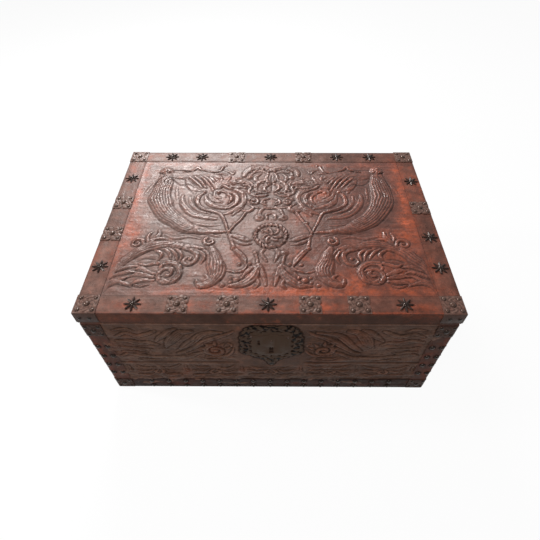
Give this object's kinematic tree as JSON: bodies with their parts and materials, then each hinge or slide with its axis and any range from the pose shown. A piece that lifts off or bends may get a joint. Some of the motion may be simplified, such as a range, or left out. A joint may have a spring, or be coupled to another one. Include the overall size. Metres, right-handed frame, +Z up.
{
  "type": "leather trunk",
  "caption": "Low wooden trunk covered in dark embossed leather, with leather straps, iron plates, stars and dome nails, a pierced lock plate, a hinged lid and end handles.",
  "frame": {"origin": "centre of the trunk's underside, on the floor, midway between its ends and between its front and back faces", "axes": "+X along the trunk's length, to the right seen from the front; the front with the lock faces -Y; +Z up"},
  "size_m": [0.8092, 0.5636, 0.3332],
  "materials": {
    "carcass_wood": "old bare softwood boards, brown with age",
    "embossed_leather": "dark brown hide glued over the boards, embossed, rubbed to red on the edges, dull wax sheen",
    "strap_leather": "plain dark brown hide strips, worn grain, low sheen",
    "nail_iron": "blackened wrought iron, rubbed on the crowns",
    "handle_iron": "blackened wrought iron, rubbed where it is held",
    "hinge_iron": "dull wrought iron",
    "lock_plate_iron": "dark brown patinated sheet iron, pierced and filed",
    "lock_works_steel": "dull filed iron, oiled",
    "plate_iron": "dark brown patinated sheet iron, chased"
  },
  "bodies": {
    "trunk": {"bottom_board": "carcass_wood", "front_board": "carcass_wood", "back_board": "carcass_wood", "left_board": "carcass_wood", "right_board": "carcass_wood", "leather_front": "embossed_leather", "leather_back": "embossed_leather", "leather_left": "embossed_leather", "leather_right": "embossed_leather", "corner_strap_front_left": "strap_leather", "corner_strap_front_right": "strap_leather", "corner_strap_back_left": "strap_leather", "corner_strap_back_right": "strap_leather", "base_strap_front": "strap_leather", "base_strap_back": "strap_leather", "base_strap_left": "strap_leather", "base_strap_right": "strap_leather", "corner_plates_base": "plate_iron", "corner_plates_top": "plate_iron", "strap_nails": "nail_iron", "corner_plate_nails": "nail_iron", "base_nails": "nail_iron", "hinge_leaf_body_left": "hinge_iron", "hinge_leaf_body_right": "hinge_iron", "hinge_pin_left": "hinge_iron", "hinge_pin_right": "hinge_iron", "handle_staples_left": "handle_iron", "handle_staples_right": "handle_iron", "lock_plate": "lock_plate_iron", "lock_plate_nails": "nail_iron", "lock_back_plate": "lock_works_steel", "lock_case": "lock_works_steel", "lock_bolt_guides": "lock_works_steel", "lock_drill_pin": "lock_works_steel"},
    "lid": {"lid_plank_front": "carcass_wood", "lid_plank_middle": "carcass_wood", "lid_plank_back": "carcass_wood", "lid_rim_front": "carcass_wood", "lid_rim_back": "carcass_wood", "lid_rim_left": "carcass_wood", "lid_rim_right": "carcass_wood", "lid_leather_top": "embossed_leather", "lid_edge_band": "strap_leather", "border_strap_front": "strap_leather", "border_strap_back": "strap_leather", "border_strap_left": "strap_leather", "border_strap_right": "strap_leather", "lid_stars": "plate_iron", "lid_square_plates": "plate_iron", "lid_corner_plates": "plate_iron", "star_nails": "nail_iron", "plate_centre_nails": "nail_iron", "plate_corner_nails": "nail_iron", "lid_edge_nails": "nail_iron", "hinge_leaf_lid_left": "hinge_iron", "hinge_leaf_lid_right": "hinge_iron", "lock_catch": "lock_works_steel"},
    "lock_bolt": {"lock_bolt": "lock_works_steel"},
    "handle_left": {"handle_left": "handle_iron"},
    "handle_right": {"handle_right": "handle_iron"}
  },
  "joints": [
    {"name": "lid_hinge", "type": "hinge", "parent": "trunk", "child": "lid", "pos_m": [0, 0.2784, 0.294], "axis": [-1, 0, 0], "range_deg": [0, 105]},
    {"name": "bolt_slide", "type": "slide", "parent": "trunk", "child": "lock_bolt", "axis": [1, 0, 0], "range_m": [0, 0.014]},
    {"name": "handle_left_swing", "type": "hinge", "parent": "trunk", "child": "handle_left", "pos_m": [-0.3979, 0, 0.205], "axis": [0, 1, 0], "range_deg": [0, 170]},
    {"name": "handle_right_swing", "type": "hinge", "parent": "trunk", "child": "handle_right", "pos_m": [0.3979, 0, 0.205], "axis": [0, -1, 0], "range_deg": [0, 170]}
  ]
}
